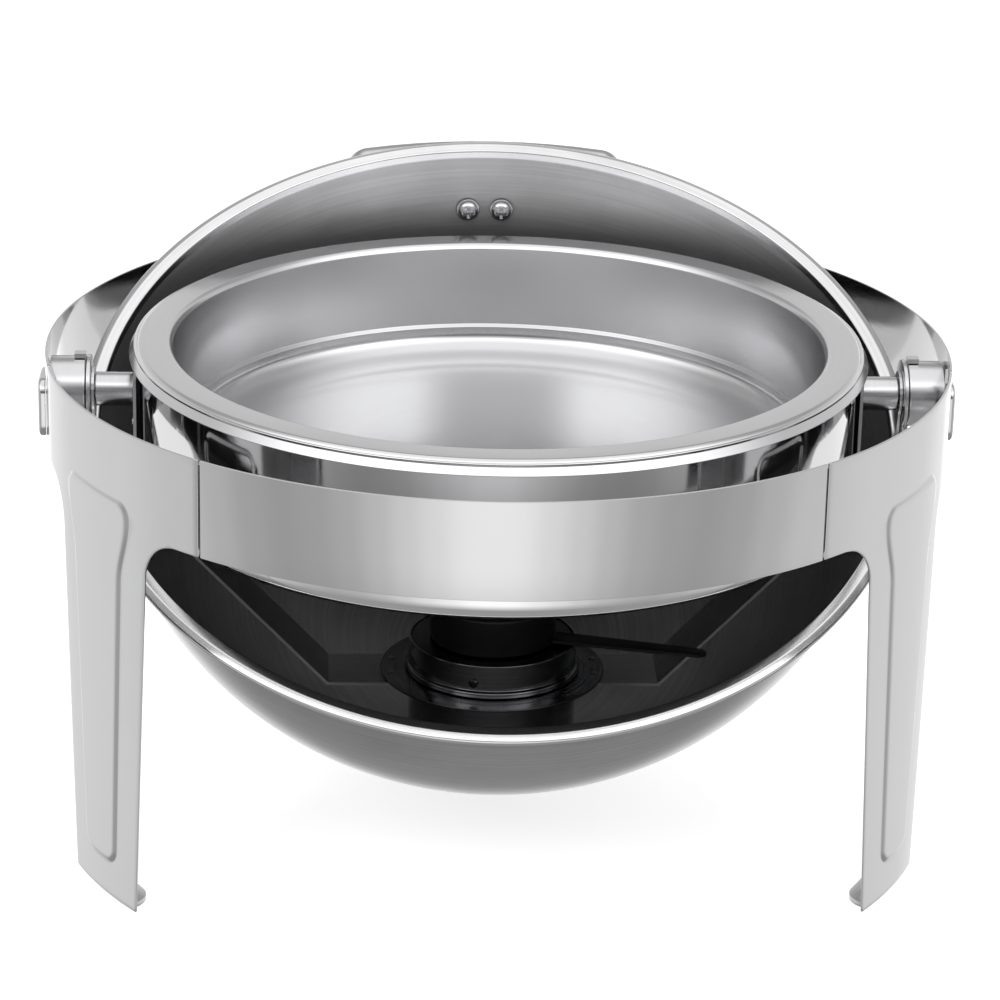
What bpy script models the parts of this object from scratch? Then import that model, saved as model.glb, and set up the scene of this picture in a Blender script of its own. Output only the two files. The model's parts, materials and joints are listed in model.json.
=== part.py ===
"""Roll top chafer: round three-leg frame, water pan, food pan, burner and rolling lid.

Frame of the part: metres, +Z up, feet on Z = 0, the front of the chafer faces -Y.
The lid is modelled as it stands when open; it rolls about the X line through its pivots.
Angles round the frame (called phi) are counted from the front, positive towards +X.
"""

import math

import bmesh
import bpy
from mathutils import Matrix, Vector

MM = 0.001

# ---------------------------------------------------------------- driving dimensions
AXIS_Z = 234.5 * MM            # height of the lid's roll axis over the floor
SHEET = 1.2 * MM               # frame sheet thickness
GAP = 0.3 * MM                 # clearance between touching pieces

RING_R = 238.5 * MM            # outer radius of the frame
RING_TOP = AXIS_Z + 26.3 * MM
RING_BOTTOM = AXIS_Z - 23.9 * MM
SEAM_PHI = math.radians(39.7)  # seams sit this far from the middle of each band
SEAM_GAP = 1.5 * MM

LEG_PHI = math.radians(120.0)  # leg spacing
LEG_BOTTOM = 0.4 * MM
ARCH_R = 24.0 * MM             # arch between a leg and the band's lower edge
LEG_HALF_TOP = 44.9 * MM       # half width just under the arch
LEG_HALF_BOTTOM = 33.3 * MM
RELIEF = 1.5 * MM              # how far the pressed panel stands out
RELIEF_TOP = AXIS_Z - 10.5 * MM
RELIEF_BOTTOM = 19.5 * MM
RELIEF_SOFT = 4.0 * MM         # width of the pressed panel's slope
RELIEF_WAIST = 25.0 * MM       # half width of the pressed panel at its waist
RELIEF_SHOULDER = 8.0 * MM     # how much wider it is at the top, and narrower at the foot
FOOT_DEPTH = 15.0 * MM
FOOT_HALF = 28.0 * MM
FOOT_CORNER = 13.0 * MM
FOOT_T = 3.0 * MM

LID_R = 214.0 * MM             # outer radius of the dome
LID_T = 1.2 * MM
LID_RIM = 22.7 * MM            # lip plane above the roll axis when closed
LIP_R = 221.5 * MM
LID_OPEN = math.radians(153.0)
SCREW_TILT = math.radians(16.1)    # the handle screws' height round the closed dome
GRIP_TILT = math.radians(14.55)    # the middle of the grip, which rests on the ring when open
GRIP_R = 247.0 * MM
GRIP_DEPTH = 11.0 * MM
GRIP_HALF = 22.5 * MM
GRIP_SWEEP = math.radians(19.3)
GRIP_T = 2.0 * MM
SCREW_X = 9.8 * MM
WASHER_T = 1.0 * MM

BOSS_R = 17.5 * MM
BOSS_X = (217.4 * MM, 236.2 * MM)
DISC_X = (214.9 * MM, 217.1 * MM)
LUG_X = (213.2 * MM, 214.6 * MM)
SLEEVE_X = (192.6 * MM, 212.9 * MM)
SLEEVE_R = 9.0 * MM
AXLE_R = 5.0 * MM
STOP_TOP = 20.2 * MM

WATER_R = 189.5 * MM
WATER_TOP = AXIS_Z + 28.4 * MM
WATER_BOTTOM = AXIS_Z - 56.0 * MM
FOOD_R = 195.0 * MM
FOOD_TOP = AXIS_Z + 30.0 * MM
FOOD_FLOOR = AXIS_Z - 33.0 * MM
PAN_T = 1.2 * MM

STRAP_T = 1.6 * MM
STRAP_HALF = 20.0 * MM
STRAP_X = 192.3 * MM
STRAP_BASE_X = 90.0 * MM
STRAP_KNEE_Z = AXIS_Z - 54.0 * MM
STRAP_TOP = AXIS_Z - 160.0 * MM

FLANGE_R = 61.0 * MM
FLANGE_T = 1.2 * MM
FLANGE_Z = STRAP_TOP + GAP
CUP_R = 45.5 * MM
CUP_T = 1.2 * MM
CUP_TOP = AXIS_Z - 140.0 * MM
CUP_BOTTOM = AXIS_Z - 193.0 * MM
CAN_R = 40.0 * MM
DAMPER_R = 34.0 * MM
DAMPER_H = 21.0 * MM
DAMPER_TURN = math.radians(-15.5)
DAMPER_REACH = 118.0 * MM

PIVOT = Vector((0.0, 0.0, AXIS_Z))
FINISHES = {
    "polished": ((0.78, 0.78, 0.79), 0.16, 1.0),
    "brushed": ((0.66, 0.66, 0.67), 0.34, 1.0),
    "satin": ((0.74, 0.74, 0.75), 0.28, 1.0),
    "dark": ((0.10, 0.10, 0.11), 0.28, 1.0),
    "black": ((0.02, 0.02, 0.02), 0.55, 0.0),
}


# ---------------------------------------------------------------- shared helpers
def clear_scene():
    """Remove every object of the start-up scene."""
    for old in list(bpy.data.objects):
        bpy.data.objects.remove(old, do_unlink=True)


def finish_material(name, finish):
    """Give one piece a Principled material of its own."""
    colour, rough, metal = FINISHES[finish]
    material = bpy.data.materials.new(name + "_finish")
    material.use_nodes = True
    shader = material.node_tree.nodes["Principled BSDF"]
    shader.inputs["Base Color"].default_value = (*colour, 1.0)
    shader.inputs["Roughness"].default_value = rough
    shader.inputs["Metallic"].default_value = metal
    return material


def make_object(name, bm, finish, parent=None, place=None):
    """Turn a bmesh into a named object; place is its matrix under its parent."""
    bmesh.ops.remove_doubles(bm, verts=bm.verts, dist=1e-6)
    bmesh.ops.recalc_face_normals(bm, faces=bm.faces)
    mesh = bpy.data.meshes.new(name)
    bm.to_mesh(mesh)
    bm.free()
    mesh.shade_smooth()
    mesh.set_sharp_from_angle(angle=math.radians(35.0))
    mesh.materials.append(finish_material(name, finish))
    thing = bpy.data.objects.new(name, mesh)
    bpy.context.scene.collection.objects.link(thing)
    thing.parent = parent
    if place is not None:
        thing.matrix_local = place
    return thing


def empty(name, place):
    """An empty that carries the pieces of one moving body."""
    thing = bpy.data.objects.new(name, None)
    thing.matrix_world = place
    bpy.context.scene.collection.objects.link(thing)
    return thing


def ring_point(radius, phi, z):
    """Point on the frame's cylinder, phi counted from the front."""
    return Vector((radius * math.sin(phi), -radius * math.cos(phi), z))


def turned(profile, steps):
    """Revolve (radius, z) points about Z; a profile off the axis closes on itself."""
    bm = bmesh.new()
    verts = [bm.verts.new((r, 0.0, z)) for r, z in profile]
    edges = [bm.edges.new(pair) for pair in zip(verts, verts[1:])]
    if min(r for r, _ in profile) > 1e-6:
        edges.append(bm.edges.new((verts[-1], verts[0])))
    bmesh.ops.spin(bm, geom=verts + edges, cent=(0, 0, 0), axis=(0, 0, 1), dvec=(0, 0, 0),
                   angle=math.tau, steps=steps, use_merge=True, use_duplicate=False)
    bmesh.ops.remove_doubles(bm, verts=bm.verts, dist=1e-6)
    return bm


def arc(centre, radius, start, end, count):
    """Points of an arc in a profile plane, angles in degrees."""
    angles = [math.radians(start + (end - start) * i / count) for i in range(count + 1)]
    return [(centre[0] + radius * math.cos(a), centre[1] + radius * math.sin(a)) for a in angles]


def lying_on_x(side):
    """Matrix that lays a piece turned about Z along +X (side 1) or -X (side -1)."""
    return Matrix.Translation(PIVOT) @ Matrix.Rotation(side * math.pi / 2, 4, "Y")


def prism(outline, low, high):
    """Extrude an (x, y) outline from z = low to z = high."""
    bm = bmesh.new()
    face = bm.faces.new([bm.verts.new((x, y, low)) for x, y in outline])
    grown = bmesh.ops.extrude_face_region(bm, geom=[face])
    top = [item for item in grown["geom"] if isinstance(item, bmesh.types.BMVert)]
    bmesh.ops.translate(bm, verts=top, vec=(0, 0, high - low))
    return bm


def drill(thing, name, cutter_bm, place):
    """Cut a closed shape out of a piece with an exact Boolean."""
    cutter = make_object(name, cutter_bm, "dark", thing.parent, place)
    cutter.hide_render = True
    cutter.display_type = "WIRE"
    cut = thing.modifiers.new("bore", "BOOLEAN")
    cut.operation = "DIFFERENCE"
    cut.object = cutter
    cut.solver = "EXACT"


# ---------------------------------------------------------------- frame
def make_band(name, middle):
    """One strip of the ring between two seams."""
    half = SEAM_PHI - 0.5 * SEAM_GAP / RING_R
    steps = 16
    bm = bmesh.new()
    inner = RING_R - SHEET
    corners = [(inner, RING_BOTTOM), (RING_R, RING_BOTTOM), (RING_R, RING_TOP), (inner, RING_TOP)]
    face = bm.faces.new([bm.verts.new(ring_point(r, middle - half, z)) for r, z in corners])
    geom = [face, *face.edges, *face.verts]
    bmesh.ops.spin(bm, geom=geom, cent=(0, 0, 0), axis=(0, 0, 1), dvec=(0, 0, 0),
                   angle=2 * half, steps=steps, use_merge=False, use_duplicate=False)
    return make_object(name, bm, "polished")


def leg_half_width(z):
    """Half width of a leg along the ring's arc, with the arch's radius at the top."""
    arch_low = RING_BOTTOM - ARCH_R
    if z > arch_low:
        drop = min(z - arch_low, ARCH_R)
        return LEG_HALF_TOP + ARCH_R - math.sqrt(ARCH_R ** 2 - drop ** 2)
    t = (arch_low - z) / (arch_low - LEG_BOTTOM)
    return LEG_HALF_TOP + t * (LEG_HALF_BOTTOM - LEG_HALF_TOP)


def relief_half_width(z):
    """Half width of the pressed panel: wide shoulders, a waist, then a slow taper."""
    waist_z = AXIS_Z - 55.0 * MM
    shoulder_height = 35.0 * MM
    taper_height = 150.0 * MM
    t = min(max((z - waist_z) / shoulder_height, 0.0), 1.0)
    shoulder = RELIEF_SHOULDER * t * t * (3.0 - 2.0 * t)
    taper = (z - waist_z) * RELIEF_SHOULDER / taper_height
    return RELIEF_WAIST + min(taper, 0.0) + shoulder


def relief_height(s, z):
    """Radial lift of the pressed panel at arc place s and height z."""
    side = (relief_half_width(z) - abs(s)) / RELIEF_SOFT
    end = min(RELIEF_TOP - z, z - RELIEF_BOTTOM) / RELIEF_SOFT
    t = min(max(min(side, end), 0.0), 1.0)
    return RELIEF * t * t * (3.0 - 2.0 * t)


def leg_columns(z):
    """Arc places of one row: they follow the panel's sides, then the leg's edges."""
    edge = relief_half_width(z)
    half = leg_half_width(z)
    flat = edge - RELIEF_SOFT
    right = [0.0, 0.5 * flat, flat, edge, 0.5 * (edge + half), half]
    return [-s for s in reversed(right[1:])] + right


def leg_rows():
    """Heights of the leg grid under the band, dense at the arch and the panel's ends."""
    arch = [RING_BOTTOM - ARCH_R + ARCH_R * math.cos(math.radians(a)) for a in (0, 20, 40, 60, 75, 90)]
    low = [130.0 * MM, 75.0 * MM, RELIEF_BOTTOM + RELIEF_SOFT, RELIEF_BOTTOM, LEG_BOTTOM]
    return arch + low


def make_leg(name, middle):
    """A leg panel: a piece of the ring, two arches and a tapering leg with a pressed panel."""
    bm = bmesh.new()
    panel_half = (math.pi / 3 - SEAM_PHI) * RING_R - 0.5 * SEAM_GAP
    grid = []
    top_rows = [RING_TOP, RELIEF_TOP, RELIEF_TOP - RELIEF_SOFT, RING_BOTTOM]
    for z in top_rows:
        inner = leg_columns(RING_BOTTOM)
        row = [-panel_half] + inner + [panel_half]
        grid.append([(s, z) for s in row])
    for z in leg_rows()[1:]:
        grid.append([None] + [(s, z) for s in leg_columns(z)] + [None])
    verts = []
    for row in grid:
        line = []
        for spot in row:
            if spot is None:
                line.append(None)
                continue
            s, z = spot
            radius = RING_R - SHEET + relief_height(s, z)
            line.append(bm.verts.new(ring_point(radius, middle + s / RING_R, z)))
        verts.append(line)
    for upper, lower in zip(verts, verts[1:]):
        for a, b, c, d in zip(upper, upper[1:], lower[1:], lower):
            if None not in (a, b, c, d):
                bm.faces.new((a, b, c, d))
    bmesh.ops.recalc_face_normals(bm, faces=bm.faces)
    thing = make_object(name, bm, "polished")
    outward = ring_point(1.0, middle, 0.0)
    if thing.data.polygons[0].normal.dot(outward) < 0:
        thing.data.flip_normals()
    wall = thing.modifiers.new("sheet", "SOLIDIFY")
    wall.thickness = SHEET
    wall.offset = 1.0
    return thing


def curved_plate(name, middle, half, low, high, inner, thick, finish, columns=6):
    """A rectangular plate bent to the ring: half is its half width along the arc."""
    bm = bmesh.new()
    angle = half / inner
    spots = [(inner, low), (inner + thick, low), (inner + thick, high), (inner, high)]
    face = bm.faces.new([bm.verts.new(ring_point(r, middle - angle, z)) for r, z in spots])
    geom = [face, *face.edges, *face.verts]
    bmesh.ops.spin(bm, geom=geom, cent=(0, 0, 0), axis=(0, 0, 1), dvec=(0, 0, 0),
                   angle=2 * angle, steps=columns, use_merge=False, use_duplicate=False)
    return make_object(name, bm, finish)


def make_splice(name, phi):
    """Backing plate behind one seam of the ring."""
    thick = 1.2 * MM
    inner = RING_R - SHEET - 0.8 * MM - thick
    curved_plate(name, phi, 12.0 * MM, RING_BOTTOM + 3.0 * MM, RING_TOP - 3.0 * MM, inner, thick, "polished")


def make_cover(name, phi):
    """Cover plate over a pivot on the outside of the ring, its outer edges rounded."""
    cover = curved_plate(name, phi, 17.0 * MM, RING_BOTTOM + 1.0 * MM, AXIS_Z + 8.8 * MM,
                         RING_R + GAP, 3.8 * MM, "polished", columns=8)
    rounding = cover.modifiers.new("rounding", "BEVEL")
    rounding.width = 1.6 * MM
    rounding.segments = 2
    rounding.limit_method = "ANGLE"
    rounding.angle_limit = math.radians(60.0)


def make_foot(name, middle):
    """Tab turned inwards at the bottom of a leg, with two round inner corners."""
    outer = RING_R - SHEET - GAP
    front = -outer + FOOT_DEPTH
    side = FOOT_HALF - FOOT_CORNER
    centre_y = front - FOOT_CORNER
    outline = arc((side, centre_y), FOOT_CORNER, 0, 90, 6) + arc((-side, centre_y), FOOT_CORNER, 90, 180, 6)
    angles = [FOOT_HALF / outer * (i / 4.0) for i in range(-4, 5)]
    outline += [tuple(ring_point(outer, a, 0.0).xy) for a in angles]
    place = Matrix.Rotation(middle, 4, "Z")
    make_object(name, prism(outline, 0.0, FOOT_T), "satin", place=place)


def make_frame():
    """Ring strips, leg panels, splice plates, feet and side covers."""
    for index, name in enumerate(("front", "right", "left")):
        make_band(name + "_band", index * LEG_PHI)
    for index, name in enumerate(("front_right", "back", "front_left")):
        middle = math.pi / 3 + index * LEG_PHI
        make_leg("leg_" + name, middle)
        make_foot("foot_" + name, middle)
    for index in range(3):
        for label, side in (("a", -1), ("b", 1)):
            make_splice(f"splice_{index + 1}{label}", index * LEG_PHI + side * SEAM_PHI)
    make_cover("side_cover_right", math.pi / 2)
    make_cover("side_cover_left", -math.pi / 2)


# ---------------------------------------------------------------- pivots
def make_pivot(word, side):
    """Boss, stop pin, disc, axle and sleeve of one side, all on the roll axis."""
    place = lying_on_x(side)
    boss = [(0.0, BOSS_X[0]), (BOSS_R - 0.8 * MM, BOSS_X[0]), (BOSS_R, BOSS_X[0] + 0.8 * MM),
            (BOSS_R, BOSS_X[1]), (0.0, BOSS_X[1])]
    make_object("pivot_boss_" + word, turned(boss, 24), "satin", place=place)
    disc = [(AXLE_R + GAP, DISC_X[0]), (BOSS_R + 0.6 * MM, DISC_X[0]),
            (BOSS_R + 0.6 * MM, DISC_X[1]), (AXLE_R + GAP, DISC_X[1])]
    make_object("pivot_disc_" + word, turned(disc, 24), "polished", place=place)
    axle = [(0.0, STRAP_X - STRAP_T), (AXLE_R, STRAP_X - STRAP_T), (AXLE_R, DISC_X[1]), (0.0, DISC_X[1])]
    make_object("pivot_axle_" + word, turned(axle, 20), "satin", place=place)
    sleeve = [(AXLE_R + GAP, SLEEVE_X[0]), (SLEEVE_R, SLEEVE_X[0]),
              (SLEEVE_R, SLEEVE_X[1]), (AXLE_R + GAP, SLEEVE_X[1])]
    make_object("spacer_sleeve_" + word, turned(sleeve, 20), "brushed", place=place)
    pin_x = 220.5 * MM
    half = 3.0 * MM
    low = BOSS_R + GAP
    outline = [(-half, -half), (half, -half), (half, half), (-half, half)]
    spot = Matrix.Translation(PIVOT + Vector((side * pin_x, 0.0, 0.0)))
    make_object("stop_pin_" + word, prism(outline, low, STOP_TOP), "satin", place=spot)


# ---------------------------------------------------------------- pans and hanger
def make_water_pan():
    """Deep pan with a rounded bottom corner and a small rolled-out lip."""
    bend = 10.0 * MM
    inner = WATER_R - PAN_T
    low = WATER_BOTTOM
    outside = [(0.0, low)] + arc((WATER_R - bend, low + bend), bend, -90, 0, 3)
    lip_r = WATER_R + 2.9 * MM
    lip = [(WATER_R, WATER_TOP - 2.4 * MM), (lip_r, WATER_TOP - 1.4 * MM), (lip_r, WATER_TOP)]
    top = [(WATER_R - 0.4 * MM, WATER_TOP), (inner, WATER_TOP - 1.0 * MM)]
    inside = arc((WATER_R - bend, low + bend), bend - PAN_T, 0, -90, 3) + [(0.0, low + PAN_T)]
    make_object("water_pan", turned(outside + lip + top + inside, 48), "polished")


def food_pan_profile():
    """Section of the food pan: floor, soft corner, step line, wall, flat rim and skirt."""
    step_z = AXIS_Z - 17.0 * MM
    corner = 16.0 * MM
    foot_r = 165.0 * MM
    wall_r = 171.5 * MM
    rim_bend = 5.0 * MM
    inside = [(0.0, FOOD_FLOOR)] + arc((foot_r - corner, FOOD_FLOOR + corner), corner, -90, 0, 4)
    inside += [(foot_r + 1.6 * MM, step_z + 1.2 * MM), (wall_r, FOOD_TOP - rim_bend)]
    rim = arc((wall_r + rim_bend, FOOD_TOP - rim_bend), rim_bend, 180, 90, 3)[1:]
    rim += [(FOOD_R - 1.5 * MM, FOOD_TOP), (FOOD_R, FOOD_TOP - 1.5 * MM), (FOOD_R, FOOD_TOP - 7.2 * MM)]
    back = [(FOOD_R - 1.0 * MM, FOOD_TOP - 7.2 * MM), (FOOD_R - 1.0 * MM, FOOD_TOP - PAN_T)]
    back += [(wall_r + rim_bend, FOOD_TOP - PAN_T)]
    outer = [(wall_r + PAN_T, FOOD_TOP - rim_bend - 1.0 * MM), (foot_r + 2.4 * MM, step_z)]
    under = arc((foot_r - corner, FOOD_FLOOR + corner), corner + PAN_T, 0, -90, 4)
    return inside + rim + back + outer + under + [(0.0, FOOD_FLOOR - PAN_T)]


def make_hanger_arm(word, side):
    """Bent strip: tab at the pivot, slope under the pan, flat end under the burner ring."""
    bm = bmesh.new()
    path = [(CUP_R + 3.0 * MM, STRAP_TOP - STRAP_T), (STRAP_BASE_X, STRAP_TOP - STRAP_T),
            (STRAP_X, STRAP_KNEE_Z - STRAP_T), (STRAP_X, AXIS_Z + 11.0 * MM)]
    rows = [[bm.verts.new((side * x, y, z)) for y in (-STRAP_HALF, STRAP_HALF)] for x, z in path]
    for low, high in zip(rows, rows[1:]):
        bm.faces.new((low[0], low[1], high[1], high[0]))
    arm = make_object("hanger_arm_" + word, bm, "brushed")
    if arm.data.polygons[0].normal.z > 0:
        arm.data.flip_normals()
    wall = arm.modifiers.new("sheet", "SOLIDIFY")
    wall.thickness = STRAP_T
    wall.offset = -1.0
    wall.use_even_offset = True
    radius = AXLE_R + GAP
    near = STRAP_X - 12.0 * MM
    far = STRAP_X + 8.0 * MM
    bore = turned([(0.0, near), (radius, near), (radius, far), (0.0, far)], 20)
    drill(arm, "bore_" + word, bore, lying_on_x(side))


def make_rivet(name, place, radius=2.4 * MM, height=1.2 * MM):
    """Low domed rivet head standing on Z = 0 of its place."""
    profile = [(0.0, 0.0), (radius, 0.0), (0.8 * radius, 0.6 * height),
               (0.45 * radius, 0.92 * height), (0.0, height)]
    return make_object(name, turned(profile, 12), "satin", place=place)


def make_hanger():
    """Two hanger arms, their rivets, the burner ring and its rivets."""
    for word, side in (("left", -1), ("right", 1)):
        make_hanger_arm(word, side)
        for label, y in (("front", -13.0 * MM), ("back", 13.0 * MM)):
            spot = lying_on_x(side) @ Matrix.Translation((side * 14.0 * MM, y, STRAP_X + GAP))
            make_rivet(f"hanger_rivet_{word}_{label}", spot)
            flat = Matrix.Translation((side * 55.0 * MM, y * 0.8, FLANGE_Z + FLANGE_T + GAP))
            make_rivet(f"ring_rivet_{word}_{label}", flat, 1.7 * MM, 0.8 * MM)
    ring = [(CUP_R + 0.6 * MM, FLANGE_Z), (FLANGE_R, FLANGE_Z),
            (FLANGE_R, FLANGE_Z + FLANGE_T), (CUP_R + 0.6 * MM, FLANGE_Z + FLANGE_T)]
    make_object("burner_ring", turned(ring, 36), "brushed")


# ---------------------------------------------------------------- burner
def make_fuel_cup(carrier):
    """Fuel cup hanging in the burner ring on its bead, with cover, can and side screw."""
    down = -CUP_TOP
    bead_low = FLANGE_Z + FLANGE_T + GAP + down
    floor = CUP_BOTTOM + down
    inner = CUP_R - CUP_T
    profile = [(0.0, floor), (CUP_R - 3.0 * MM, floor), (CUP_R, floor + 3.0 * MM), (CUP_R, bead_low),
               (CUP_R + 1.8 * MM, bead_low), (CUP_R + 1.8 * MM, bead_low + 2.6 * MM),
               (CUP_R, bead_low + 4.0 * MM), (CUP_R, 0.0), (inner, 0.0), (inner, floor + 3.0 * MM),
               (inner - 2.0 * MM, floor + CUP_T),
               (0.0, floor + CUP_T)]
    make_object("fuel_cup", turned(profile, 32), "dark", carrier)
    hole = 30.0 * MM
    edge = inner - GAP
    cover = [(hole, -2.0 * MM), (edge, -2.0 * MM), (edge, -0.8 * MM), (hole, -0.8 * MM)]
    make_object("cup_cover", turned(cover, 32), "dark", carrier)
    can_low = floor + CUP_T + GAP
    can = [(0.0, can_low), (CAN_R, can_low), (CAN_R, -6.0 * MM), (CAN_R - 2.0 * MM, -6.0 * MM),
           (CAN_R - 2.0 * MM, -8.0 * MM), (14.0 * MM, -8.0 * MM), (13.0 * MM, -5.0 * MM), (0.0, -5.0 * MM)]
    make_object("fuel_can", turned(can, 24), "satin", carrier)
    turn = math.radians(-105.0)
    spot = Matrix.Rotation(turn, 4, "Z") @ Matrix.Translation((CUP_R + GAP, 0.0, -10.0 * MM))
    make_rivet("cup_screw", spot @ Matrix.Rotation(math.pi / 2, 4, "Y"), 2.6 * MM, 1.6 * MM).parent = carrier


def make_damper(carrier):
    """Black damper cap with a small flame opening and its long flat handle."""
    low = 0.4 * MM
    high = low + DAMPER_H
    inner = DAMPER_R - 1.2 * MM
    cap = [(inner, low), (DAMPER_R, low), (DAMPER_R, high - 1.5 * MM), (DAMPER_R - 1.5 * MM, high),
           (12.0 * MM, high), (12.0 * MM, high - 1.2 * MM), (inner - 1.0 * MM, high - 1.2 * MM),
           (inner, high - 2.2 * MM)]
    make_object("damper_cap", turned(cap, 32), "black", carrier)
    tip_half = 5.0 * MM
    root_half = 7.0 * MM
    root = DAMPER_R + 0.5 * MM
    end = arc((DAMPER_REACH - tip_half, 0.0), tip_half, -90, 90, 6)
    outline = [(root, -root_half)] + end + [(root, root_half)]
    place = Matrix.Rotation(DAMPER_TURN, 4, "Z")
    make_object("damper_handle", prism(outline, 1.2 * MM, 3.0 * MM), "black", carrier, place)


# ---------------------------------------------------------------- lid
def make_lid_shell(carrier):
    """Dome a little less than a half sphere, with a rounded lip turned outwards."""
    low = math.degrees(math.asin((LID_RIM + 1.3 * MM) / LID_R))
    outside = [(0.0, LID_R)] + arc((0.0, 0.0), LID_R, 82.0, low, 9)
    rim = LID_RIM
    crest = 0.5 * (LID_R + LIP_R)
    hem = LIP_R - LID_T
    edge = rim + 1.9 * MM
    low_side = rim - 0.3 * MM
    lip_top = [(LID_R + 0.8 * MM, low_side), (crest, rim - 0.8 * MM), (hem, rim + 0.5 * MM), (hem, edge)]
    lip_under = [(LIP_R, edge), (LIP_R, low_side), (crest, rim - 2.1 * MM), (LID_R, rim - 1.6 * MM)]
    inside = arc((0.0, 0.0), LID_R - LID_T, low - 0.2, 82.0, 9) + [(0.0, LID_R - LID_T)]
    make_object("lid_shell", turned(outside + lip_top + lip_under + inside, 60), "brushed", carrier)


def make_lid_lug(word, side, carrier):
    """Flat lug under the lip with a hole for the axle."""
    top = 20.2 * MM
    outline = [(top, -14.0 * MM), (top, 14.0 * MM)] + arc((0.0, 0.0), 12.0 * MM, 70, 290, 14)
    stand = Matrix.Rotation(-math.pi / 2, 4, "Y")
    low, high = (LUG_X[0], LUG_X[1]) if side < 0 else (-LUG_X[1], -LUG_X[0])
    lug = make_object("lid_lug_" + word, prism(outline, low, high), "satin", carrier, stand)
    wide = 3.0 * MM
    radius = AXLE_R + GAP
    bore = turned([(0.0, low - wide), (radius, low - wide), (radius, high + wide), (0.0, high + wide)], 20)
    drill(lug, "lug_bore_" + word, bore, stand)


def make_grip(carrier, aim):
    """Curved channel grip: a bent strip whose long edges are turned in towards the dome."""
    inner = GRIP_R - GRIP_DEPTH
    bend = 5.0 * MM
    outer = [(inner, -GRIP_HALF)] + arc((GRIP_R - bend, -GRIP_HALF + bend), bend, -90, 0, 3)
    outer += arc((GRIP_R - bend, GRIP_HALF - bend), bend, 0, 90, 3) + [(inner, GRIP_HALF)]
    thin = bend - GRIP_T
    back = [(inner, GRIP_HALF - GRIP_T)] + arc((GRIP_R - bend, GRIP_HALF - bend), thin, 90, 0, 3)
    back += arc((GRIP_R - bend, -GRIP_HALF + bend), thin, 0, -90, 3) + [(inner, -GRIP_HALF + GRIP_T)]
    bm = bmesh.new()
    start = [Matrix.Rotation(-GRIP_SWEEP, 4, "Z") @ Vector((r, 0.0, z)) for r, z in outer + back]
    face = bm.faces.new([bm.verts.new(point) for point in start])
    bmesh.ops.spin(bm, geom=[face, *face.edges, *face.verts], cent=(0, 0, 0), axis=(0, 0, 1),
                   dvec=(0, 0, 0), angle=2 * GRIP_SWEEP, steps=14, use_merge=False, use_duplicate=False)
    make_object("handle_grip", bm, "satin", carrier, aim)


def make_handle(carrier):
    """Grip, two stand-offs, two washers and two cross-head screws."""
    quarter = Matrix.Rotation(-math.pi / 2, 4, "Z")
    make_grip(carrier, Matrix.Rotation(-GRIP_TILT, 4, "X") @ quarter)
    aim = Matrix.Rotation(-SCREW_TILT, 4, "X") @ quarter
    for word, side in (("left", -1), ("right", 1)):
        turn = math.asin(SCREW_X / LID_R)
        ray = aim @ Matrix.Rotation(side * turn, 4, "Z") @ Matrix.Rotation(math.pi / 2, 4, "Y")
        post = [(0.0, LID_R + GAP), (6.0 * MM, LID_R + GAP), (6.0 * MM, GRIP_R - GRIP_T - 0.6 * MM),
                (0.0, GRIP_R - GRIP_T - 0.6 * MM)]
        make_object("handle_post_" + word, turned(post, 20), "satin", carrier, ray)
        face = LID_R - LID_T - 1.0 * MM
        washer = [(0.0, face - WASHER_T), (6.8 * MM, face - WASHER_T), (6.8 * MM, face), (0.0, face)]
        make_object("handle_washer_" + word, turned(washer, 24), "satin", carrier, ray)
        base = face - WASHER_T - GAP
        head = [(0.0, base - 4.2 * MM), (2.6 * MM, base - 3.9 * MM), (4.6 * MM, base - 2.6 * MM),
                (5.7 * MM, base), (0.0, base)]
        make_object("handle_screw_" + word, turned(head, 24), "satin", carrier, ray)


def build():
    """Build every piece of the chafer."""
    clear_scene()
    make_frame()
    make_pivot("left", -1)
    make_pivot("right", 1)
    make_hanger()
    make_water_pan()

    food = empty("food_pan_body", Matrix.Identity(4))
    make_object("food_pan", turned(food_pan_profile(), 48), "satin", food)

    cup = empty("cup_body", Matrix.Translation((0.0, 0.0, CUP_TOP)))
    make_fuel_cup(cup)
    damper = empty("damper_body", Matrix.Translation((0.0, 0.0, CUP_TOP)))
    make_damper(damper)

    lid = empty("lid_body", Matrix.Translation(PIVOT) @ Matrix.Rotation(-LID_OPEN, 4, "X"))
    make_lid_shell(lid)
    make_lid_lug("left", -1, lid)
    make_lid_lug("right", 1, lid)
    make_handle(lid)


build()
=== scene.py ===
"""Finished looks of the roll top chafer: polished frame, rolling dome, pans and burner.

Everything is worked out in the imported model's frame: metres, the feet stand on Z = 0, the front
faces -Y and the lid is open. Angles round the frame, called phi, are counted from the front and
grow towards +X.
"""

from __future__ import annotations

import json
import logging
import math
from dataclasses import dataclass
from enum import Enum
from typing import Callable, Sequence

import bmesh
import bpy
import numpy as np
from mathutils import Matrix, Vector


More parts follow.
